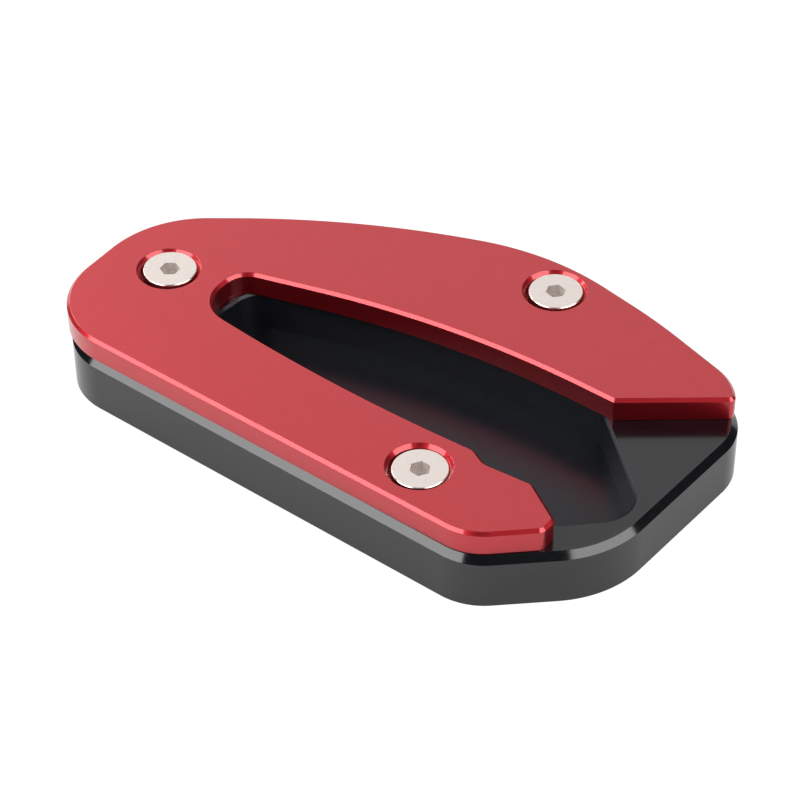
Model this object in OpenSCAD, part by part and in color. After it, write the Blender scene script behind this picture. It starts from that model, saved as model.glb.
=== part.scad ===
// Kickstand foot enlarger: a black base plate with a deep pocket for the kickstand's foot,
// a red clamp plate that closes over the foot, and three low head socket screws.
// Millimetres, +Z up. The underside of the base plate is at z = 0 and the middle of the plan is at the origin.
// The heel is at -X, and the open mouth where the kickstand's leg comes in is at +X.

/* [Overall] */
// Length from the heel to the mouth side
length = 101; // [92:0.5:112]
// Width across both arms
width = 60.6; // [56:0.2:68]

/* [Base plate] */
// Height of the base plate
base_h = 9.2; // [8:0.1:12]
// Chamfer round the top edge of the base plate
base_chamfer = 1.05; // [0.4:0.05:1.4]
// Edge break round the underside
base_break = 0.1; // [0.05:0.05:0.5]
// Thickness of the pocket's floor
pocket_floor = 2.2; // [1.6:0.1:3]
// Edge chamfer round the pocket
pocket_chamfer = 0.4; // [0.1:0.05:0.6]

/* [Clamp plate] */
// Thickness of the clamp plate
clamp_t = 4; // [3.8:0.1:5]
// Chamfer round the top edge of the clamp plate
clamp_chamfer = 0.5; // [0.2:0.05:0.6]

/* [Screws] */
// Diameter of the thread
thread_d = 5; // [4:0.1:5.5]
// Diameter of the low head
head_d = 8.5; // [7.5:0.1:9]
// Height of the low head
head_h = 2.5; // [2:0.1:2.8]
// Edge chamfer of the head
head_chamfer = 0.3; // [0.1:0.05:0.5]
// Hex socket across its flats
socket_af = 3; // [2.5:0.1:3.5]
// Depth of the hex socket
socket_depth = 1.5; // [1:0.1:1.7]
// Length under the head
shank_l = 8; // [6:0.5:8]

/* [Fits] */
// Gap all round between a screw and its clearance hole in the clamp plate
hole_gap = 0.25; // [0.15:0.05:0.4]
// Gap all round between a head and its counterbore
head_gap = 0.25; // [0.15:0.05:0.4]
// Gap all round between a thread and its tapped hole
thread_gap = 0.05; // [0.02:0.01:0.1]
// Gap between the tip of a screw and the bottom of its tapped hole
tip_gap = 0.5; // [0.2:0.1:0.8]
// How far the heads lie below the clamp plate's face
head_recess = 0.2; // [0.1:0.05:0.4]
// Chamfer round the mouth of a counterbore
bore_chamfer = 0.5; // [0.2:0.05:0.6]

/* [Hidden] */
$fn = 64;

total_h = base_h + clamp_t;
bore_d = head_d + 2 * head_gap;

// The outlines are drawn for this length and width, and stretch with the ones above.
drawn_length = 101;
drawn_width = 60.6;
stretch = [length / drawn_length, width / drawn_width];

// Each outline runs anticlockwise. A corner is [x, y, radius], at the point where its two sides would meet.
BASE_CORNERS = [
    [-45.9, -30.2, 11.3],   // heel, near corner
    [34.3, -30.3, 10.3],    // start of the cut corner
    [49.8, -15.65, 17.8],   // end of the cut corner
    [50.5, 20, 10.1],       // mouth side, far corner
    [30.3, 27.8, 91],       // far side, a long curve in three parts
    [5.2, 31.7, 43.6],
    [-25.8, 18.6, 140],
    [-51.1, -0.55, 18.3],   // heel, far corner
];

CLAMP_CORNERS = [
    [-49.6, -29.7, 13.6],   // heel, near corner
    [33.7, -29.2, 9.3],     // start of the cut corner
    [41.8, -21.5, 1.5],     // tip of the near arm
    [41.8, -18.6, 1.15],
    [34.75, -14.4, 1.5],    // shoulder behind the tip
    [26.7, -15.15, 2.4],
    [23.75, -13.7, 2.8],
    [-0.9, -15.45, 300],    // near side of the opening
    [-30.1, -12.85, 5.9],   // heel end of the opening
    [-30.35, -3.15, 4.1],
    [3.95, 7.5, 153],       // far side of the opening
    [33.65, 7.5, 0.65],     // lip of the far arm
    [47.9, 18.8, 1.05],
    [45.2, 22.5, 10.1],     // mouth side, far corner
    [28, 27.25, 92.9],      // far side
    [5.35, 30.9, 43],
    [-24.8, 18.85, 136],
    [-51.05, -1.3, 18.2],   // heel, far corner
];

POCKET_CORNERS = [
    [-29.65, -13.9, 6.5],   // heel end
    [-0.9, -16.4, 200],     // near side, under the near arm
    [39.7, -16.4, 6],       // alongside the cut corner
    [49.2, -6.95, 5.5],     // end towards the mouth
    [30.1, 9.2, 3],         // far side, under the far arm
    [4.8, 9.5, 100],
    [-28.95, -1.8, 5],
];

// Middle of each screw, and how much deeper its head sits than the recess above
SCREW_PLACES = [
    [-39.4, -9.3, -0.15],   // heel
    [11.65, 23.3, -0.05],   // far arm
    [19.8, -21.6, 0.25],    // near arm
];

// A place in plan at the chosen length and width
function place(p) = [p[0] * stretch[0], p[1] * stretch[1]];

// Heights of one screw: the seat under its head, and its tip
function seat_height(p) = total_h - head_recess - p[2] - head_h;
function tip_height(p) = seat_height(p) - shank_l;

// Steps along an arc that stay within this distance of it
arc_error = 0.015;
function arc_steps(r, turn) = max(1, ceil(abs(turn) / (2 * acos(1 - arc_error / max(r, 0.5)))));

function unit(v) = v / norm(v);

// Points of the arc that rounds corner b between a and c, at the chosen length and width.
// The inset steps them square to the outline, towards the solid.
function corner_arc(a, b, c, r, inset) =
    let (u = unit(b - a))
    let (v = unit(c - b))
    let (turn = atan2(u[0] * v[1] - u[1] * v[0], u * v))
    let (side = sign(turn))
    let (left = [-u[1], u[0]])
    let (centre = b - u * r * tan(abs(turn) / 2) + left * side * r)
    let (start = atan2(-left[1] * side, -left[0] * side))
    let (steps = arc_steps(r, turn))
    [for (k = [0:steps])
        let (ray = [cos(start + turn * k / steps), sin(start + turn * k / steps)])
        let (out = unit([ray[0] / stretch[0], ray[1] / stretch[1]]) * side)
        place(centre + r * ray) - inset * out];

function flat(c) = [c[0], c[1]];

// The whole rounded outline. Every inset gives the same number of points.
function outline(corners, inset = 0) =
    let (n = len(corners))
    [for (i = [0:n - 1])
        each corner_arc(flat(corners[(i + n - 1) % n]), flat(corners[i]), flat(corners[(i + 1) % n]), corners[i][2], inset)];

// Upright wall round an outline, from height z up
module prism(corners, z, h) {
    translate([0, 0, z])
    linear_extrude(h)
    polygon(outline(corners));
}

// How far a cutter runs past what it cuts
over = 0.4;

// Ring that runs round an outline and takes a 45 degree chamfer off its upper edge at height z.
// It is thin, so that it stays clear of itself round the tightest corner.
module edge_cutter(corners, z, chamfer) {
    rim = 0.08;
    section = [
        [-rim, z - chamfer - rim],
        [-rim, z + rim],
        [chamfer + rim, z + rim],
    ];
    rings = [for (s = section) [for (p = outline(corners, s[0])) [p[0], p[1], s[1]]]];
    n = len(rings[0]);
    faces = [
        for (j = [0:2])
        for (k = [0:n - 1])
        let (up = (j + 1) % 3)
        let (next = (k + 1) % n)
        [j * n + k, up * n + k, up * n + next, j * n + next]
    ];
    polyhedron(points = [for (ring = rings) each ring], faces = faces, convexity = 6);
}

// A solid through one outline at several levels, each [z, inset], from the lowest to the highest
module stepped(corners, levels) {
    rings = [for (l = levels) [for (p = outline(corners, l[1])) [p[0], p[1], l[0]]]];
    n = len(rings[0]);
    top = len(levels) - 1;
    low_face = [for (k = [0:n - 1]) k];
    high_face = [for (k = [n - 1:-1:0]) top * n + k];
    sides = [
        for (j = [0:top - 1])
        for (k = [0:n - 1])
        let (next = (k + 1) % n)
        [j * n + k, (j + 1) * n + k, (j + 1) * n + next, j * n + next]
    ];
    polyhedron(points = [for (ring = rings) each ring], faces = concat([low_face], [high_face], sides), convexity = 6);
}

module pocket() {
    stepped(POCKET_CORNERS, [
        [pocket_floor, 0],
        [base_h - pocket_chamfer, 0],
        [base_h + over, -pocket_chamfer - over],
    ]);
}

// Tapped hole that leaves a gap under the tip of its screw
module tapped_hole(p) {
    low_z = tip_height(p) - tip_gap;
    translate([place(p)[0], place(p)[1], low_z])
    cylinder(d = thread_d + 2 * thread_gap, h = base_h - low_z + over);
}

module base_plate() {
    color("#26272a")
    difference() {
        stepped(BASE_CORNERS, [
            [0, base_break],
            [base_break, 0],
            [base_h - base_chamfer, 0],
            [base_h, base_chamfer],
        ]);
        pocket();
        for (p = SCREW_PLACES)
            tapped_hole(p);
    }
}

// Clearance hole, counterbore and chamfered mouth of one screw, turned as one shape
module screw_hole(p) {
    hole_r = thread_d / 2 + hole_gap;
    bore_r = bore_d / 2;
    translate(place(p))
    rotate_extrude()
    polygon([
        [0, base_h - over],
        [hole_r, base_h - over],
        [hole_r, seat_height(p)],
        [bore_r, seat_height(p)],
        [bore_r, total_h - bore_chamfer],
        [bore_r + bore_chamfer + over, total_h + over],
        [0, total_h + over],
    ]);
}

module clamp_plate() {
    color("#c13a3e")
    difference() {
        prism(CLAMP_CORNERS, base_h, clamp_t);
        edge_cutter(CLAMP_CORNERS, total_h, clamp_chamfer);
        for (p = SCREW_PLACES)
            screw_hole(p);
    }
}

// One low head socket screw, seated in the clamp plate
module screw(p) {
    head_r = head_d / 2;
    thread_r = thread_d / 2;
    tip_chamfer = 0.6;
    seat_z = seat_height(p);
    top_z = seat_z + head_h;
    tip_z = tip_height(p);
    translate(place(p))
    difference() {
        rotate_extrude()
        polygon([
            [0, tip_z],
            [thread_r - tip_chamfer, tip_z],
            [thread_r, tip_z + tip_chamfer],
            [thread_r, seat_z],
            [head_r, seat_z],
            [head_r, top_z - head_chamfer],
            [head_r - head_chamfer, top_z],
            [0, top_z],
        ]);
        translate([0, 0, top_z - socket_depth])
        cylinder(d = socket_af / cos(30), h = socket_depth + 1, $fn = 6);
    }
}

module clamp_screws() {
    color("#d9d3ca")
    for (p = SCREW_PLACES)
        screw(p);
}

base_plate();
clamp_plate();
clamp_screws();
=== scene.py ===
"""Dresses a kickstand foot enlarger in fine surfaces and finishes, in a small white studio."""
import bpy
import numpy as np
from bpy.props import FloatProperty, FloatVectorProperty, PointerProperty
from mathutils import Matrix, Vector
from mathutils.geometry import tessellate_polygon


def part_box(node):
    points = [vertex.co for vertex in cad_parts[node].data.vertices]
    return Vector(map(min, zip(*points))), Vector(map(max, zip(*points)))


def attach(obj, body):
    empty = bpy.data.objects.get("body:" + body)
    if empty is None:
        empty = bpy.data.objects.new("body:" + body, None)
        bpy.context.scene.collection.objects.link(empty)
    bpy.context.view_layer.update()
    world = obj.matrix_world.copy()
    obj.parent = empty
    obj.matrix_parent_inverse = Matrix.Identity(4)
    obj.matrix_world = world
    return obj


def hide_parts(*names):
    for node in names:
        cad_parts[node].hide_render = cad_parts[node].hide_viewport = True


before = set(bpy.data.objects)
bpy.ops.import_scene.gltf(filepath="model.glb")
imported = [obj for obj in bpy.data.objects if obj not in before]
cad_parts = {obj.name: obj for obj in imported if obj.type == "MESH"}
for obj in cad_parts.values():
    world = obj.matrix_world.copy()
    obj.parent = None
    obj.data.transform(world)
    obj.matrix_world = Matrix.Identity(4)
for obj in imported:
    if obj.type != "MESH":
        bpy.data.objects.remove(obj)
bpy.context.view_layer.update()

bl_info = {
    "name": "Kickstand foot enlarger",
    "version": (1, 0, 0),
    "blender": (4, 5, 0),
    "location": "View3D > Sidebar > Foot enlarger",
    "description": "Makes the pieces of a kickstand foot enlarger, and a small studio for them",
    "category": "Object",
}

MM = 0.001
BODY = "root"

# Heights of the upper faces of the two plates, in millimetres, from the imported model
BASE_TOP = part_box("base_plate")[1][2] / MM
TOTAL_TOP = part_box("clamp_plate")[1][2] / MM

# Outlines in plan, anticlockwise, in millimetres. A corner is x, y and radius, at the point where its
# two sides would meet.
BASE_CORNERS = (
    (-45.9, -30.2, 11.3), (34.3, -30.3, 10.3), (49.8, -15.65, 17.8), (50.5, 20, 10.1),
    (30.3, 27.8, 91), (5.2, 31.7, 43.6), (-25.8, 18.6, 140), (-51.1, -0.55, 18.3),
)
CLAMP_CORNERS = (
    (-49.6, -29.7, 13.6), (33.7, -29.2, 9.3), (41.8, -21.5, 1.5), (41.8, -18.6, 1.15),
    (34.75, -14.4, 1.5), (26.7, -15.15, 2.4), (23.75, -13.7, 2.8), (-0.9, -15.45, 300),
    (-30.1, -12.85, 5.9), (-30.35, -3.15, 4.1), (3.95, 7.5, 153), (33.65, 7.5, 0.65),
    (47.9, 18.8, 1.05), (45.2, 22.5, 10.1), (28, 27.25, 92.9), (5.35, 30.9, 43),
    (-24.8, 18.85, 136), (-51.05, -1.3, 18.2),
)
POCKET_CORNERS = (
    (-29.65, -13.9, 6.5), (-0.9, -16.4, 200), (39.7, -16.4, 6), (49.2, -6.95, 5.5),
    (30.1, 9.2, 3), (4.8, 9.5, 100), (-28.95, -1.8, 5),
)
# Each screw: its middle in plan, how far its head lies below the clamp plate's face, how far its
# socket is turned, in degrees, and how far its hole in the clamp plate is off the screw's middle
SCREWS = (
    (-39.4, -9.3, 0.03, 38.0, -0.08, -0.21),
    (11.65, 23.3, 0.10, 48.0, -0.16, -0.12),
    (19.8, -21.6, 0.40, 59.0, -0.16, -0.07),
)
# Gaps between a screw and its tapped hole: all round its thread, and below its tip
THREAD_GAP = 0.05
TIP_GAP = 0.5
# Width of the level strip that leads from a chamfer into the face beside it
STRIP = 0.1


class FinishSettings(bpy.types.PropertyGroup):
    black: FloatVectorProperty(
        name="Black finish", description="Colour of the black anodised base plate",
        subtype="COLOR", size=3, min=0, max=1, default=(0.0052, 0.0059, 0.008))
    red: FloatVectorProperty(
        name="Red finish", description="Colour of the red anodised clamp plate",
        subtype="COLOR", size=3, min=0, max=1, default=(0.565, 0.018, 0.029))
    steel: FloatVectorProperty(
        name="Steel", description="Colour of the screws",
        subtype="COLOR", size=3, min=0, max=1, default=(0.875, 0.78, 0.73))
    black_roughness: FloatProperty(
        name="Black roughness",
        description="Spread of reflections in the black finish of walls and chamfers",
        subtype="FACTOR", min=0, max=1, default=0.12)
    milled_roughness: FloatProperty(
        name="Milled roughness", description="Spread of reflections in the base plate's upper face",
        subtype="FACTOR", min=0, max=1, default=0.16)
    pocket_roughness: FloatProperty(
        name="Pocket roughness", description="Spread of reflections in the pocket",
        subtype="FACTOR", min=0, max=1, default=0.3)
    red_roughness: FloatProperty(
        name="Red roughness", description="Spread of reflections in the red metal under its clear layer",
        subtype="FACTOR", min=0, max=1, default=0.38)


class BaseSettings(bpy.types.PropertyGroup):
    floor: FloatProperty(
        name="Pocket floor", description="Thickness of the floor under the foot pocket",
        subtype="DISTANCE", unit="LENGTH", min=0.0016, max=0.003, default=0.0022)
    chamfer: FloatProperty(
        name="Top chamfer", description="Chamfer round the upper edge",
        subtype="DISTANCE", unit="LENGTH", min=0.0004, max=0.0014, default=0.00105)
    foot_break: FloatProperty(
        name="Lower edge break", description="Edge break round the underside",
        subtype="DISTANCE", unit="LENGTH", min=0.00005, max=0.0005, default=0.0001)
    pocket_chamfer: FloatProperty(
        name="Pocket chamfer", description="Chamfer round the mouth of the pocket",
        subtype="DISTANCE", unit="LENGTH", min=0.0001, max=0.0006, default=0.0004)
    rounding: FloatProperty(
        name="Edge rounding", description="Radius left on each machined edge",
        subtype="DISTANCE", unit="LENGTH", min=0.00002, max=0.0002, default=0.0001)


class ClampSettings(bpy.types.PropertyGroup):
    chamfer: FloatProperty(
        name="Top chamfer", description="Chamfer round the upper edge",
        subtype="DISTANCE", unit="LENGTH", min=0.0002, max=0.0006, default=0.0005)
    bore_d: FloatProperty(
        name="Counterbore", description="Diameter of the counterbore round a screw head",
        subtype="DISTANCE", unit="LENGTH", min=0.0085, max=0.0096, default=0.009)
    bore_chamfer: FloatProperty(
        name="Counterbore chamfer", description="Chamfer round the mouth of a counterbore",
        subtype="DISTANCE", unit="LENGTH", min=0.0002, max=0.0007, default=0.0006)
    hole_d: FloatProperty(
        name="Clearance hole", description="Diameter of the hole that a screw passes through",
        subtype="DISTANCE", unit="LENGTH", min=0.0052, max=0.006, default=0.0055)
    rounding: FloatProperty(
        name="Edge rounding", description="Radius left on each machined edge",
        subtype="DISTANCE", unit="LENGTH", min=0.00002, max=0.0002, default=0.00008)


class ScrewSettings(bpy.types.PropertyGroup):
    head_d: FloatProperty(
        name="Head", description="Diameter of the low head",
        subtype="DISTANCE", unit="LENGTH", min=0.0075, max=0.009, default=0.0085)
    head_h: FloatProperty(
        name="Head height", description="Height of the low head",
        subtype="DISTANCE", unit="LENGTH", min=0.002, max=0.0028, default=0.0025)
    head_chamfer: FloatProperty(
        name="Head chamfer", description="Chamfer round the top of the head",
        subtype="DISTANCE", unit="LENGTH", min=0.00005, max=0.0005, default=0.00012)
    socket_af: FloatProperty(
        name="Socket", description="Hex socket across its flats",
        subtype="DISTANCE", unit="LENGTH", min=0.0025, max=0.0035, default=0.0028)
    socket_depth: FloatProperty(
        name="Socket depth", description="Depth of the socket's flat walls",
        subtype="DISTANCE", unit="LENGTH", min=0.001, max=0.0017, default=0.0015)
    shank_l: FloatProperty(
        name="Length", description="Length under the head",
        subtype="DISTANCE", unit="LENGTH", min=0.006, max=0.008, default=0.008)
    thread_d: FloatProperty(
        name="Thread", description="Diameter over the thread",
        subtype="DISTANCE", unit="LENGTH", min=0.004, max=0.0055, default=0.005)
    pitch: FloatProperty(
        name="Pitch", description="Height of one turn of the thread",
        subtype="DISTANCE", unit="LENGTH", min=0.0005, max=0.001, default=0.0008)


class StudioSettings(bpy.types.PropertyGroup):
    lens: FloatProperty(
        name="Lens", description="Focal length of the camera on a 36 mm wide picture",
        min=20, max=300, default=129.44)
    left_light: FloatProperty(
        name="Left box", description="Brightness of the soft box to the left of the camera",
        min=0, max=20, default=4.6)
    right_light: FloatProperty(
        name="Right box", description="Brightness of the soft box to the right of the camera",
        min=0, max=20, default=4.1)
    table_light: FloatProperty(
        name="Table box",
        description="Brightness of the box on the far left that lights the table beside the object",
        min=0, max=20, default=6)
    far_left: FloatProperty(
        name="Far panel, left",
        description="Brightness of the left half of the wide panel on the far side",
        min=0, max=5, default=0.95)
    far_right: FloatProperty(
        name="Far panel, right",
        description="Brightness of the right half of the wide panel on the far side",
        min=0, max=5, default=0.84)
    seen_table: FloatProperty(
        name="Table glow, seen", description="How much of the table's own glow the camera sees",
        subtype="FACTOR", min=0, max=1, default=0.9)
    mirrored_table: FloatProperty(
        name="Table glow, mirrored", description="How much of the table's own glow shows in reflections",
        subtype="FACTOR", min=0, max=1, default=0.37)
    table_glow: FloatProperty(
        name="Table glow", description="Strength of the table's own glow",
        min=0, max=2, default=1.1)
    surround: FloatProperty(
        name="Surround", description="Brightness of the room around the table",
        min=0, max=2, default=0.04)


def rounded_outline(corners, fine=0.003):
    """Points and outward directions, in plan, of straight sides joined by arcs.

    Each arc's centre lies its radius away from both sides, on the inside of the turn. A point is the
    centre plus the radius times (cos a, sin a), with a running over the turn in steps whose chords stay
    within fine of the arc. The outward direction is (cos a, sin a) where the outline turns left, and its
    opposite where it turns right.
    """
    data = np.array(corners, float)
    sharp, radius = data[:, :2], data[:, 2]
    u = sharp - np.roll(sharp, 1, axis=0)
    v = np.roll(sharp, -1, axis=0) - sharp
    u /= np.linalg.norm(u, axis=1)[:, None]
    v /= np.linalg.norm(v, axis=1)[:, None]
    turn = np.arctan2(u[:, 0] * v[:, 1] - u[:, 1] * v[:, 0], (u * v).sum(axis=1))
    side = np.sign(turn)
    left = np.stack([-u[:, 1], u[:, 0]], axis=1)
    centre = sharp - u * (radius * np.tan(abs(turn) / 2))[:, None] + left * (side * radius)[:, None]
    start = np.arctan2(-left[:, 1] * side, -left[:, 0] * side)
    steps = np.ceil(abs(turn) / (2 * np.arccos(1 - fine / radius))).astype(int) + 1
    which = np.repeat(np.arange(len(data)), steps + 1)
    k = np.arange(len(which)) - np.repeat(np.cumsum(steps + 1) - steps - 1, steps + 1)
    angle = start[which] + turn[which] * k / steps[which]
    ray = np.stack([np.cos(angle), np.sin(angle)], axis=1)
    return centre[which] + radius[which, None] * ray, side[which, None] * ray


def circle_outline(x, y, radius, count=96, start=0.0):
    """Points and outward directions of a circle.

    A point is the middle plus the radius times (cos a, sin a), for even steps of a from start on.
    """
    angle = start + np.arange(count) * 2 * np.pi / count
    ray = np.stack([np.cos(angle), np.sin(angle)], axis=1)
    return np.array([x, y]) + radius * ray, ray


def section(stations, steps=4):
    """A wall's section line: points (inset, height), and the way it faces at both ends of each length.

    A station is (inset, height, radius). Inner stations with a radius are rounded by an arc of that
    radius, as in rounded_outline. A length faces its own left-hand side, and along an arc the way turns
    with it.
    """
    data = np.array(stations, float)
    points, spin = [data[0, :2]], [None]
    for a, b, c in zip(data[:-2], data[1:-1], data[2:]):
        u = (b - a)[:2] / np.linalg.norm((b - a)[:2])
        v = (c - b)[:2] / np.linalg.norm((c - b)[:2])
        turn = np.arctan2(u[0] * v[1] - u[1] * v[0], u @ v)
        if b[2] == 0:
            points.append(b[:2])
            spin.append(None)
            continue
        side = np.sign(turn)
        left = np.array([-u[1], u[0]])
        centre = b[:2] - u * b[2] * np.tan(abs(turn) / 2) + left * side * b[2]
        angle = np.arctan2(*(-left * side)[::-1]) + turn * np.linspace(0, 1, steps + 1)
        ray = np.stack([np.cos(angle), np.sin(angle)], axis=1)
        points.extend(centre + b[2] * ray)
        spin.extend(-side * ray)
    points.append(data[-1, :2])
    spin.append(None)
    points = np.array(points)
    along = np.diff(points, axis=0)
    along /= np.linalg.norm(along, axis=1)[:, None]
    start = np.stack([-along[:, 1], along[:, 0]], axis=1)
    end = start.copy()
    # Along an arc the ways at both ends are the arc's own.
    for i in range(len(start)):
        if spin[i] is not None and spin[i + 1] is not None:
            start[i], end[i] = spin[i], spin[i + 1]
    return points, start, end


def carried(line, out):
    """Carries a section's ways round an outline.

    A way is the outward direction times its inset part, turned about, plus its height part straight up.
    """
    ways = np.empty((len(line), len(out), 3))
    ways[..., :2] = -line[:, 0, None, None] * out[None]
    ways[..., 2] = line[:, 1, None]
    return ways


class Shell:
    """Gathers the surfaces of one piece, in millimetres.

    It holds points, faces, the way that each face corner faces, and the finish of each face.
    """

    def __init__(self):
        self.points = np.empty((0, 3))
        self.faces = []
        self.ways = []
        self.finish = []
        self.use = 0

    def place(self, points):
        """Adds a block of points of any shape (..., 3) and gives their numbers in the same shape."""
        first = len(self.points)
        self.points = np.concatenate([self.points, points.reshape(-1, 3)])
        return first + np.arange(points[..., 0].size).reshape(points.shape[:-1])

    def quads(self, index, start, end):
        """Joins rings of points, numbered (ring, step), all round.

        start and end hold the ways at the first and the second ring of each band.
        """
        nxt = np.roll(index, -1, axis=1)
        faces = np.stack([index[:-1], nxt[:-1], nxt[1:], index[1:]], axis=-1)
        ways = np.stack([start, np.roll(start, -1, axis=1), np.roll(end, -1, axis=1), end], axis=2)
        self.add(faces.reshape(-1, 4), ways.reshape(-1, 4, 3))

    def add(self, faces, ways):
        """Adds faces with the number of the finish in use."""
        self.faces.append(faces)
        self.ways.append(ways)
        self.finish.append(np.full(len(faces), self.use))

    def wall(self, outline, profile):
        """Carries a section line round an outline.

        The plan is the outline's point less the inset times the outward direction, and the height is the
        section's own.
        """
        plan, out = outline
        points, start, end = profile
        block = np.empty((len(points), len(plan), 3))
        block[..., :2] = plan[None] - points[:, 0, None, None] * out[None]
        block[..., 2] = points[:, 1, None]
        index = self.place(block)
        self.quads(index, carried(start, out), carried(end, out))
        return index

    def cap(self, outer, holes, up):
        """A level face between an outer ring and the rings of its holes, facing up (1) or down (-1)."""
        rings = [outer] + holes
        number = np.concatenate(rings)
        loops = [[Vector((p[0], p[1], 0)) for p in self.points[r]] for r in rings]
        tri = number[np.array(tessellate_polygon(loops))]
        a, b, c = (self.points[tri[:, i], :2] for i in range(3))
        area = (b[:, 0] - a[:, 0]) * (c[:, 1] - a[:, 1]) - (b[:, 1] - a[:, 1]) * (c[:, 0] - a[:, 0])
        wrong = area * up < 0
        tri[wrong] = tri[wrong][:, ::-1]
        self.add(tri, np.broadcast_to(np.array([0.0, 0.0, up]), (len(tri), 3, 3)))

    def point_down(self, ring, tip):
        """Closes a ring with a cone down to one point. The cone faces up, towards its axis.

        Its way is the step out from the axis times the rise over the reach, plus the reach straight up.
        """
        low = self.place(np.array(tip, float)[None])[0]
        p = self.points[ring]
        radial = p[:, :2] - np.array(tip[:2])
        reach = np.linalg.norm(radial, axis=1)
        rise = tip[2] - p[:, 2]
        way = np.concatenate([radial * (rise / reach)[:, None], reach[:, None]], axis=1)
        way /= np.linalg.norm(way, axis=1)[:, None]
        second = np.roll(way, -1, axis=0)
        mid = way + second
        mid /= np.linalg.norm(mid, axis=1)[:, None]
        faces = np.stack([ring, np.roll(ring, -1), np.full_like(ring, low)], axis=1)
        self.add(faces, np.stack([way, second, mid], axis=1))

    def make(self, name, *finishes):
        """Makes the piece: one closed mesh in metres, with the ways set on its face corners.

        Raises an error if the mesh isn't closed.
        """
        edges = np.concatenate([
            np.stack([f, np.roll(f, -1, axis=1)], axis=-1).reshape(-1, 2) for f in self.faces])
        _, uses = np.unique(np.sort(edges, axis=1), axis=0, return_counts=True)
        if (uses != 2).any():
            raise RuntimeError(f"{name} has {(uses != 2).sum()} open edges")
        mesh = bpy.data.meshes.new(name)
        faces = [face for part in self.faces for face in part.tolist()]
        mesh.from_pydata((self.points * MM).tolist(), [], faces)
        mesh.polygons.foreach_set("use_smooth", np.ones(len(mesh.polygons), bool))
        mesh.update()
        mesh.normals_split_custom_set(np.concatenate([w.reshape(-1, 3) for w in self.ways]).tolist())
        for finish in finishes:
            mesh.materials.append(finish)
        mesh.polygons.foreach_set("material_index", np.concatenate(self.finish))
        obj = bpy.data.objects.new(name, mesh)
        bpy.context.scene.collection.objects.link(obj)
        return obj


def new_material(name):
    """An empty node material and its surface shader."""
    material = bpy.data.materials.new(name)
    material.use_nodes = True
    tree = material.node_tree
    tree.nodes.clear()
    output = tree.nodes.new("ShaderNodeOutputMaterial")
    shader = tree.nodes.new("ShaderNodeBsdfPrincipled")
    tree.links.new(shader.outputs["BSDF"], output.inputs["Surface"])
    return material, tree, shader


# How many grains of noise lie along a metre: of the tint, of the gloss and of the bumps
TINT_GRAIN = 400
GLOSS_GRAIN = 1500
BUMP_GRAIN = 9000
# Height of the bumps, in metres
BUMP_HEIGHT = 0.00002
# Most of the noise lies between these.
NOISE_LOW = 0.3
NOISE_HIGH = 0.7


def grain(tree, scale, detail=3.0):
    """Fine noise over the piece's own coordinates."""
    place = tree.nodes.new("ShaderNodeTexCoord")
    noise = tree.nodes.new("ShaderNodeTexNoise")
    noise.inputs["Scale"].default_value = scale
    noise.inputs["Detail"].default_value = detail
    tree.links.new(place.outputs["Object"], noise.inputs["Vector"])
    return noise.outputs["Fac"]


def add_tint(tree, shader, colour, low, high, scale=TINT_GRAIN):
    """Gives the shader a colour that varies between low and high times the given one."""
    mix = tree.nodes.new("ShaderNodeMixRGB")
    mix.inputs["Color1"].default_value = (*[c * low for c in colour], 1)
    mix.inputs["Color2"].default_value = (*[min(c * high, 1) for c in colour], 1)
    tree.links.new(grain(tree, scale), mix.inputs["Fac"])
    tree.links.new(mix.outputs["Color"], shader.inputs["Base Color"])


def add_gloss(tree, shader, low, high, scale=GLOSS_GRAIN):
    """Gives the shader a roughness that varies between low and high."""
    fall = tree.nodes.new("ShaderNodeMapRange")
    fall.inputs["From Min"].default_value = NOISE_LOW
    fall.inputs["From Max"].default_value = NOISE_HIGH
    fall.inputs["To Min"].default_value = low
    fall.inputs["To Max"].default_value = high
    tree.links.new(grain(tree, scale), fall.inputs["Value"])
    tree.links.new(fall.outputs["Result"], shader.inputs["Roughness"])


def add_bumps(tree, shader, strength):
    """Gives the shader the faint grain of a blasted surface."""
    bump = tree.nodes.new("ShaderNodeBump")
    bump.inputs["Strength"].default_value = strength
    bump.inputs["Distance"].default_value = BUMP_HEIGHT
    tree.links.new(grain(tree, BUMP_GRAIN, detail=2.0), bump.inputs["Height"])
    tree.links.new(bump.outputs["Normal"], shader.inputs["Normal"])


def black_anodised(settings, name, colour_scale, roughness, ior):
    """Black anodised aluminium: near black under a clear oxide, satin, with a faint grain. A
    colour_scale above 1 lightens the black, and that lightening is painted light.
    """
    material, tree, shader = new_material(name)
    add_tint(tree, shader, [c * colour_scale for c in settings.black], 0.8, 1.25)
    add_gloss(tree, shader, roughness - 0.02, roughness + 0.02)
    add_bumps(tree, shader, 0.006)
    shader.inputs["IOR"].default_value = ior
    return material


def red_anodised(settings):
    """Red anodised aluminium: coloured metal with a satin spread under a glossier clear layer."""
    material, tree, shader = new_material("red_anodised")
    add_tint(tree, shader, settings.red, 0.95, 1.05)
    add_gloss(tree, shader, settings.red_roughness - 0.03, settings.red_roughness + 0.03)
    add_bumps(tree, shader, 0.005)
    shader.inputs["Metallic"].default_value = 0.85
    shader.inputs["Coat Weight"].default_value = 1.0
    shader.inputs["Coat Roughness"].default_value = 0.1
    shader.inputs["Coat IOR"].default_value = 1.5
    return material


def bright_steel(settings):
    """Bare steel with a fine grain."""
    material, tree, shader = new_material("bright_steel")
    add_tint(tree, shader, settings.steel, 0.94, 1.04, scale=900)
    add_gloss(tree, shader, 0.22, 0.28, scale=2500)
    shader.inputs["Metallic"].default_value = 1.0
    return material


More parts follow.
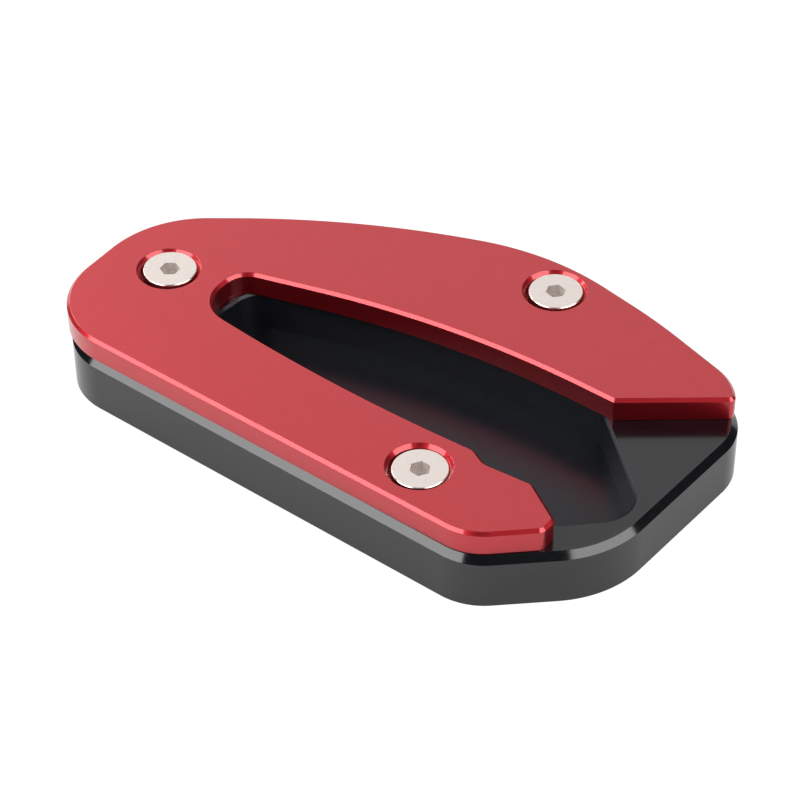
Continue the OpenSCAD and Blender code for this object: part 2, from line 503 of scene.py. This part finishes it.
def socket_steel(settings):
    """The same steel where the hex punch left it rougher and duller."""
    material, tree, shader = new_material("socket_steel")
    add_tint(tree, shader, settings.steel, 0.55, 1.0, scale=2500)
    add_gloss(tree, shader, 0.55, 0.7, scale=4000)
    shader.inputs["Metallic"].default_value = 0.2
    return material


class FOOT_OT_base(bpy.types.Operator):
    """Makes the black base plate: chamfered outline, foot pocket and three tapped holes"""
    bl_idname = "foot.base_plate"
    bl_label = "Base plate"

    def execute(self, context):
        size = context.scene.foot_base
        floor, chamfer, foot, mouth, edge = (
            v / MM for v in (
                size.floor, size.chamfer, size.foot_break, size.pocket_chamfer, size.rounding))
        top_strip, floor_strip, hole_break = 0.2, 0.6, 0.05
        anodised, milled, hollow = 0, 1, 2
        shell = Shell()
        outer = shell.wall(rounded_outline(BASE_CORNERS), section([
            (foot + STRIP, 0, 0), (foot, 0, edge), (0, foot, edge), (0, BASE_TOP - chamfer, edge),
            (chamfer, BASE_TOP, edge), (chamfer + top_strip, BASE_TOP, 0)]))
        shell.use = hollow
        pocket = shell.wall(rounded_outline(POCKET_CORNERS), section([
            (-mouth - STRIP, BASE_TOP, 0), (-mouth, BASE_TOP, edge), (0, BASE_TOP - mouth, edge),
            (0, floor, 0), (floor_strip, floor, 0)]))
        shell.use = anodised
        screw = context.scene.foot_screws
        holes = []
        for x, y, recess, *_ in SCREWS:
            low = TOTAL_TOP - recess - (screw.head_h + screw.shank_l) / MM - TIP_GAP
            ring = shell.wall(circle_outline(x, y, screw.thread_d / MM / 2 + THREAD_GAP), section([
                (-2 * hole_break, BASE_TOP, 0), (-hole_break, BASE_TOP, 0),
                (0, BASE_TOP - hole_break, 0), (0, low, 0)]))
            shell.cap(ring[-1], [], 1)
            holes.append(ring[0])
        shell.cap(outer[0], [], -1)
        shell.use = milled
        shell.cap(outer[-1], [pocket[0]] + holes, 1)
        shell.use = hollow
        shell.cap(pocket[-1], [], 1)
        finish = context.scene.foot_finish
        # The pocket's finish is the black made 2.4 times lighter. This is painted light that stands in
        # for the dim light filling the pocket.
        piece = shell.make(
            "base_body",
            black_anodised(finish, "black_anodised", 1, finish.black_roughness, 1.65),
            black_anodised(finish, "black_milled", 1, finish.milled_roughness, 1.57),
            black_anodised(finish, "black_pocket_painted_fill", 2.4, finish.pocket_roughness, 1.4))
        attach(piece, BODY)
        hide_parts("base_plate")
        return {"FINISHED"}


class FOOT_OT_clamp(bpy.types.Operator):
    """Makes the red clamp plate: two arms round an opening, with three counterbored holes"""
    bl_idname = "foot.clamp_plate"
    bl_label = "Clamp plate"

    def execute(self, context):
        size = context.scene.foot_clamp
        chamfer, bore, mouth, hole, edge = (
            v / MM for v in (size.chamfer, size.bore_d, size.bore_chamfer, size.hole_d, size.rounding))
        head_h = context.scene.foot_screws.head_h / MM
        low_break, low_round, low_strip, top_strip = 0.08, 0.03, 0.12, 0.12
        shell = Shell()
        outer = shell.wall(rounded_outline(CLAMP_CORNERS), section([
            (low_break + low_strip, BASE_TOP, 0), (low_break, BASE_TOP, low_round),
            (0, BASE_TOP + low_break, low_round), (0, TOTAL_TOP - chamfer, edge),
            (chamfer, TOTAL_TOP, edge), (chamfer + top_strip, TOTAL_TOP, 0)]))
        low, high = [], []
        for x, y, recess, _, dx, dy in SCREWS:
            step = (bore - hole) / 2
            seat = TOTAL_TOP - recess - head_h
            ring = shell.wall(circle_outline(x + dx, y + dy, bore / 2), section([
                (-mouth - STRIP, TOTAL_TOP, 0), (-mouth, TOTAL_TOP, edge), (0, TOTAL_TOP - mouth, edge),
                (0, seat, 0), (step, seat, 0), (step, BASE_TOP, 0)]))
            high.append(ring[0])
            low.append(ring[-1])
        shell.cap(outer[0], low, -1)
        shell.cap(outer[-1], high, 1)
        piece = shell.make("clamp_body", red_anodised(context.scene.foot_finish))
        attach(piece, BODY)
        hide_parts("clamp_plate")
        return {"FINISHED"}


def hex_reach(angle, af):
    """How far a hexagon's side lies from its middle in the direction of the angle.

    That is half its width over the cosine of the angle from the middle of the side.
    """
    return af / 2 / np.cos(np.mod(angle, np.pi / 3) - np.pi / 6)


def screw_shell(shell, x, y, recess, turn, size):
    """One socket screw: a tip, a threaded shank, a head and a hex socket.

    The thread's radius falls and rises as a cosine of the height, in turns of the pitch, less the share
    of a turn round the axis.
    """
    head_r, head_h, chamfer, af, depth, thread_r, pitch = (
        v / MM for v in (
            size.head_d / 2, size.head_h, size.head_chamfer, size.socket_af, size.socket_depth,
            size.thread_d / 2, size.pitch))
    tip_chamfer, groove, fade_in, fade_out, plain_neck = 0.6, 0.27, 0.5, 0.8, 0.6
    top_strip, socket_break, drill_step, drill_depth = 0.12, 0.04, 0.1, 0.35
    bright, punched = 0, 1
    head_top = TOTAL_TOP - recess
    seat = head_top - head_h
    low = seat - size.shank_l / MM
    count, levels = 96, 121
    middle = np.array([x, y])
    _, out = circle_outline(x, y, 1.0, count, turn)
    angle = np.arange(count) * 2 * np.pi / count

    # Thread: the groove fades out at the tip and under the head.
    z = np.linspace(low + tip_chamfer, seat, levels)
    fade = np.minimum((z - z[0]) / fade_in, (z[-1] - plain_neck - z) / fade_out)
    fade = np.clip(fade, 0, 1)[:, None]
    phase = 2 * np.pi * (z[:, None] / pitch) - angle[None]
    radius = thread_r - fade * groove * (0.5 - 0.5 * np.cos(phase))
    by_phase = -fade * groove * 0.5 * np.sin(phase)
    block = np.empty((len(z), count, 3))
    block[..., :2] = middle + radius[..., None] * out[None]
    block[..., 2] = z[:, None]
    index = shell.place(block)
    across = np.stack([-out[:, 1], out[:, 0]], axis=1)
    way = np.empty_like(block)
    way[..., :2] = out[None] + (by_phase / radius)[..., None] * across[None]
    way[..., 2] = -by_phase * 2 * np.pi / pitch
    way /= np.linalg.norm(way, axis=2)[..., None]
    shell.quads(index, way[:-1], way[1:])

    def ring(reach, height):
        """Places a ring of points that reach this far from the axis."""
        points = np.empty((count, 3))
        points[:, :2] = middle + np.broadcast_to(reach, (count,))[:, None] * out
        points[:, 2] = height
        return shell.place(points)

    def join(first, second, ways):
        """One band between two rings, with the same ways at both."""
        shell.quads(np.stack([first, second]), ways[None], ways[None])

    # Tip, with its chamfer facing out and down
    tip = ring(thread_r - tip_chamfer, low)
    shell.cap(tip, [], -1)
    join(tip, index[0], np.concatenate([out, np.full((count, 1), -1.0)], axis=1) / np.sqrt(2))

    # Head: underside, side, chamfer and the start of its top
    rim = chamfer / 2
    line, start, end = section([
        (head_r - thread_r, seat, 0), (0, seat, rim), (0, head_top - chamfer, rim),
        (chamfer, head_top, rim), (chamfer + top_strip, head_top, 0)])
    block = np.empty((len(line) - 1, count, 3))
    block[..., :2] = middle + (head_r - line[1:, 0])[:, None, None] * out[None]
    block[..., 2] = line[1:, 1, None]
    head = np.concatenate([index[-1:], shell.place(block)])
    shell.quads(head, carried(start, out), carried(end, out))

    # Socket: six flat walls under a fine edge break, then a floor with a drilled point
    level = np.broadcast_to(np.array([0.0, 0.0, 1.0]), (count, 3))
    reach = hex_reach(angle, af)
    lip = ring(reach + socket_break, head_top)
    join(head[-1], lip, level)
    shell.use = punched
    side = np.floor(np.arange(count) / (count / 6)) * np.pi / 3 + np.pi / 6 + turn
    flat = np.stack([-np.cos(side), -np.sin(side), np.zeros(count)], axis=1)
    slope = (flat + np.array([0, 0, 1])) / np.sqrt(2)
    nxt = np.roll(np.arange(count), -1)
    wall = ring(reach, head_top - socket_break)
    base = ring(reach, head_top - depth)
    for upper, lower, ways in ((lip, wall, slope), (wall, base, flat)):
        faces = np.stack([upper, upper[nxt], lower[nxt], lower], axis=1)
        shell.add(faces, np.repeat(ways[:, None], 4, axis=1))
    drill = ring(af / 2 - drill_step, head_top - depth)
    join(base, drill, level)
    shell.point_down(drill, (x, y, head_top - depth - drill_depth))
    shell.use = bright


class FOOT_OT_screws(bpy.types.Operator):
    """Makes the three low head socket screws"""
    bl_idname = "foot.screws"
    bl_label = "Screws"

    def execute(self, context):
        finish = context.scene.foot_finish
        shell = Shell()
        for x, y, recess, turn, *_ in SCREWS:
            screw_shell(shell, x, y, recess, np.radians(turn), context.scene.foot_screws)
        piece = shell.make("socket_screws", bright_steel(finish), socket_steel(finish))
        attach(piece, BODY)
        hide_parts("clamp_screws")
        return {"FINISHED"}


def look(eye, target, roll=0.0):
    """The matrix of a camera or lamp at eye that faces target. Roll turns it clockwise, in radians."""
    eye, target = Vector(eye), Vector(target)
    back = (eye - target).normalized()
    right = Vector((0, 0, 1)).cross(back).normalized()
    up = back.cross(right)
    turned_right = right * np.cos(roll) - up * np.sin(roll)
    turned_up = right * np.sin(roll) + up * np.cos(roll)
    matrix = Matrix((turned_right, turned_up, back)).transposed().to_4x4()
    matrix.translation = eye
    return matrix


# The camera's own directions in plan: to the right of the picture, and away from the camera
RIGHT = np.array([0.7845, 0.6201, 0.0])
AWAY = np.array([-0.6201, 0.7845, 0.0])
# The camera looks at this point of the clamp plate's face, in millimetres, from this far, in metres.
# It looks down and is rolled clockwise by these degrees.
CAMERA_TARGET = np.array([8.5, -11.9, TOTAL_TOP])
CAMERA_DISTANCE = 0.4274
CAMERA_TILT = 41.149
CAMERA_ROLL = 0.344
# The lamps face this point, in metres.
LAMP_TARGET = (0, 0, 0.006)
# Radius of the round table, in millimetres
TABLE_RADIUS = 3000.0


def soft_box(name, brightness, spread, rise, distance, width, height, roll=0.0):
    """A rectangular lamp that faces the middle of the object. Lengths are in metres.

    It stands spread degrees round from the camera's side, to the right, and rise degrees up, and is
    turned roll degrees clockwise in its own plane. Its power is its brightness times pi times its area.
    """
    a, e = np.radians(spread), np.radians(rise)
    way = (RIGHT * np.sin(a) - AWAY * np.cos(a)) * np.cos(e) + np.array([0, 0, np.sin(e)])
    lamp = bpy.data.lights.new(name, "AREA")
    lamp.shape = "RECTANGLE"
    lamp.size, lamp.size_y = width, height
    lamp.energy = brightness * np.pi * width * height
    obj = bpy.data.objects.new(name, lamp)
    bpy.context.scene.collection.objects.link(obj)
    obj.matrix_world = look(way * distance, LAMP_TARGET, np.radians(roll))
    obj.visible_camera = False
    return obj


def white_table(size):
    """A wide pale table. Its own glow shows to the camera and, more faintly, in reflections."""
    plan, _ = circle_outline(0, 0, TABLE_RADIUS, 128)
    rim = np.concatenate([plan * MM, np.zeros((len(plan), 1))], axis=1)
    mesh = bpy.data.meshes.new("table")
    mesh.from_pydata(rim.tolist(), [], [list(range(len(plan)))])
    material, tree, shader = new_material("white_table")
    shader.inputs["Base Color"].default_value = (0.9, 0.9, 0.9, 1)
    shader.inputs["Roughness"].default_value = 0.6
    shader.inputs["Specular IOR Level"].default_value = 0.2
    rays = tree.nodes.new("ShaderNodeLightPath")
    mirrored = tree.nodes.new("ShaderNodeMath")
    mirrored.operation = "MAXIMUM"
    tree.links.new(rays.outputs["Is Glossy Ray"], mirrored.inputs[0])
    tree.links.new(rays.outputs["Is Transmission Ray"], mirrored.inputs[1])
    part = tree.nodes.new("ShaderNodeMath")
    part.operation = "MULTIPLY"
    part.inputs[1].default_value = size.mirrored_table
    tree.links.new(mirrored.outputs[0], part.inputs[0])
    share = tree.nodes.new("ShaderNodeMath")
    share.operation = "MULTIPLY_ADD"
    share.inputs[1].default_value = size.seen_table
    tree.links.new(rays.outputs["Is Camera Ray"], share.inputs[0])
    tree.links.new(part.outputs[0], share.inputs[2])
    glow = tree.nodes.new("ShaderNodeEmission")
    glow.inputs["Strength"].default_value = size.table_glow
    mix = tree.nodes.new("ShaderNodeMixShader")
    tree.links.new(share.outputs[0], mix.inputs["Fac"])
    tree.links.new(shader.outputs["BSDF"], mix.inputs[1])
    tree.links.new(glow.outputs["Emission"], mix.inputs[2])
    output = [n for n in tree.nodes if n.type == "OUTPUT_MATERIAL"][0]
    tree.links.new(mix.outputs["Shader"], output.inputs["Surface"])
    mesh.materials.append(material)
    table = bpy.data.objects.new("table", mesh)
    bpy.context.scene.collection.objects.link(table)
    return table


def pale_room(size):
    """A dim even room for light and reflections, with plain white behind the table for the camera."""
    world = bpy.data.worlds.new("room")
    world.use_nodes = True
    tree = world.node_tree
    tree.nodes.clear()
    output = tree.nodes.new("ShaderNodeOutputWorld")
    room = tree.nodes.new("ShaderNodeBackground")
    room.inputs["Color"].default_value = (1, 1, 1, 1)
    room.inputs["Strength"].default_value = size.surround
    white = tree.nodes.new("ShaderNodeBackground")
    white.inputs["Color"].default_value = (1, 1, 1, 1)
    white.inputs["Strength"].default_value = 1.0
    rays = tree.nodes.new("ShaderNodeLightPath")
    mix = tree.nodes.new("ShaderNodeMixShader")
    tree.links.new(rays.outputs["Is Camera Ray"], mix.inputs["Fac"])
    tree.links.new(room.outputs["Background"], mix.inputs[1])
    tree.links.new(white.outputs["Background"], mix.inputs[2])
    tree.links.new(mix.outputs["Shader"], output.inputs["Surface"])
    return world


def graded_panel(size):
    """The wide panel on the far side. Its brightness changes evenly over the middle of its width."""
    panel = soft_box(
        "far_panel", 1.0, spread=180, rise=43, distance=1.1, width=2.2, height=0.9)
    panel.data.use_nodes = True
    tree = panel.data.node_tree
    place = tree.nodes.new("ShaderNodeNewGeometry")
    across = tree.nodes.new("ShaderNodeSeparateXYZ")
    tree.links.new(place.outputs["Parametric"], across.inputs[0])
    fall = tree.nodes.new("ShaderNodeMapRange")
    fall.inputs["From Min"].default_value = 0.35
    fall.inputs["From Max"].default_value = 0.65
    fall.inputs["To Min"].default_value = size.far_right
    fall.inputs["To Max"].default_value = size.far_left
    tree.links.new(across.outputs["X"], fall.inputs["Value"])
    tree.links.new(fall.outputs["Result"], tree.nodes["Emission"].inputs["Strength"])


def photo_camera(size):
    """The camera, where the photo was taken from."""
    lens = bpy.data.cameras.new("camera")
    lens.lens = size.lens
    lens.sensor_width = 36
    lens.clip_start = 0.01
    lens.clip_end = 20
    camera = bpy.data.objects.new("camera", lens)
    bpy.context.scene.collection.objects.link(camera)
    tilt = np.radians(CAMERA_TILT)
    target = CAMERA_TARGET * MM
    ahead = AWAY * np.cos(tilt) - np.array([0, 0, np.sin(tilt)])
    camera.matrix_world = look(target - ahead * CAMERA_DISTANCE, target, np.radians(CAMERA_ROLL))
    return camera


class FOOT_OT_studio(bpy.types.Operator):
    """Sets the white table, the lamps, the room and the camera"""
    bl_idname = "foot.studio"
    bl_label = "Studio"

    def execute(self, context):
        size = context.scene.foot_studio
        scene = context.scene
        scene.view_settings.view_transform = "Standard"
        table = white_table(size)
        scene.world = pale_room(size)
        soft_box(
            "left_box", size.left_light,
            spread=-64.3, rise=37.9, distance=0.83, width=0.73, height=0.37, roll=-21.0)
        soft_box(
            "right_box", size.right_light,
            spread=59.1, rise=42.2, distance=0.81, width=0.74, height=0.3, roll=17.0)
        soft_box(
            "table_box", size.table_light,
            spread=-132, rise=32, distance=0.9, width=0.6, height=0.35)
        graded_panel(size)
        scene.camera = photo_camera(size)
        return {"FINISHED"}


class FOOT_PT_panel(bpy.types.Panel):
    bl_label = "Foot enlarger"
    bl_idname = "FOOT_PT_panel"
    bl_space_type = "VIEW_3D"
    bl_region_type = "UI"
    bl_category = "Foot enlarger"

    def draw(self, context):
        layout = self.layout
        for title, group, operator in (
                ("Base plate", "foot_base", "foot.base_plate"),
                ("Clamp plate", "foot_clamp", "foot.clamp_plate"),
                ("Screws", "foot_screws", "foot.screws"),
                ("Studio", "foot_studio", "foot.studio")):
            box = layout.box()
            box.label(text=title)
            settings = getattr(context.scene, group)
            for name in settings.__annotations__:
                box.prop(settings, name)
            box.operator(operator)
        box = layout.box()
        box.label(text="Finishes")
        for name in FinishSettings.__annotations__:
            box.prop(context.scene.foot_finish, name)


GROUPS = {
    "foot_finish": FinishSettings,
    "foot_base": BaseSettings,
    "foot_clamp": ClampSettings,
    "foot_screws": ScrewSettings,
    "foot_studio": StudioSettings,
}
CLASSES = (*GROUPS.values(), FOOT_OT_base, FOOT_OT_clamp, FOOT_OT_screws, FOOT_OT_studio, FOOT_PT_panel)


def register():
    for cls in CLASSES:
        bpy.utils.register_class(cls)
    for name, group in GROUPS.items():
        setattr(bpy.types.Scene, name, PointerProperty(type=group))


def unregister():
    for name in GROUPS:
        delattr(bpy.types.Scene, name)
    for cls in reversed(CLASSES):
        bpy.utils.unregister_class(cls)


def main():
    """Makes every piece and the studio."""
    register()
    bpy.ops.foot.studio()
    bpy.ops.foot.base_plate()
    bpy.ops.foot.clamp_plate()
    bpy.ops.foot.screws()


if __name__ == "__main__":
    main()
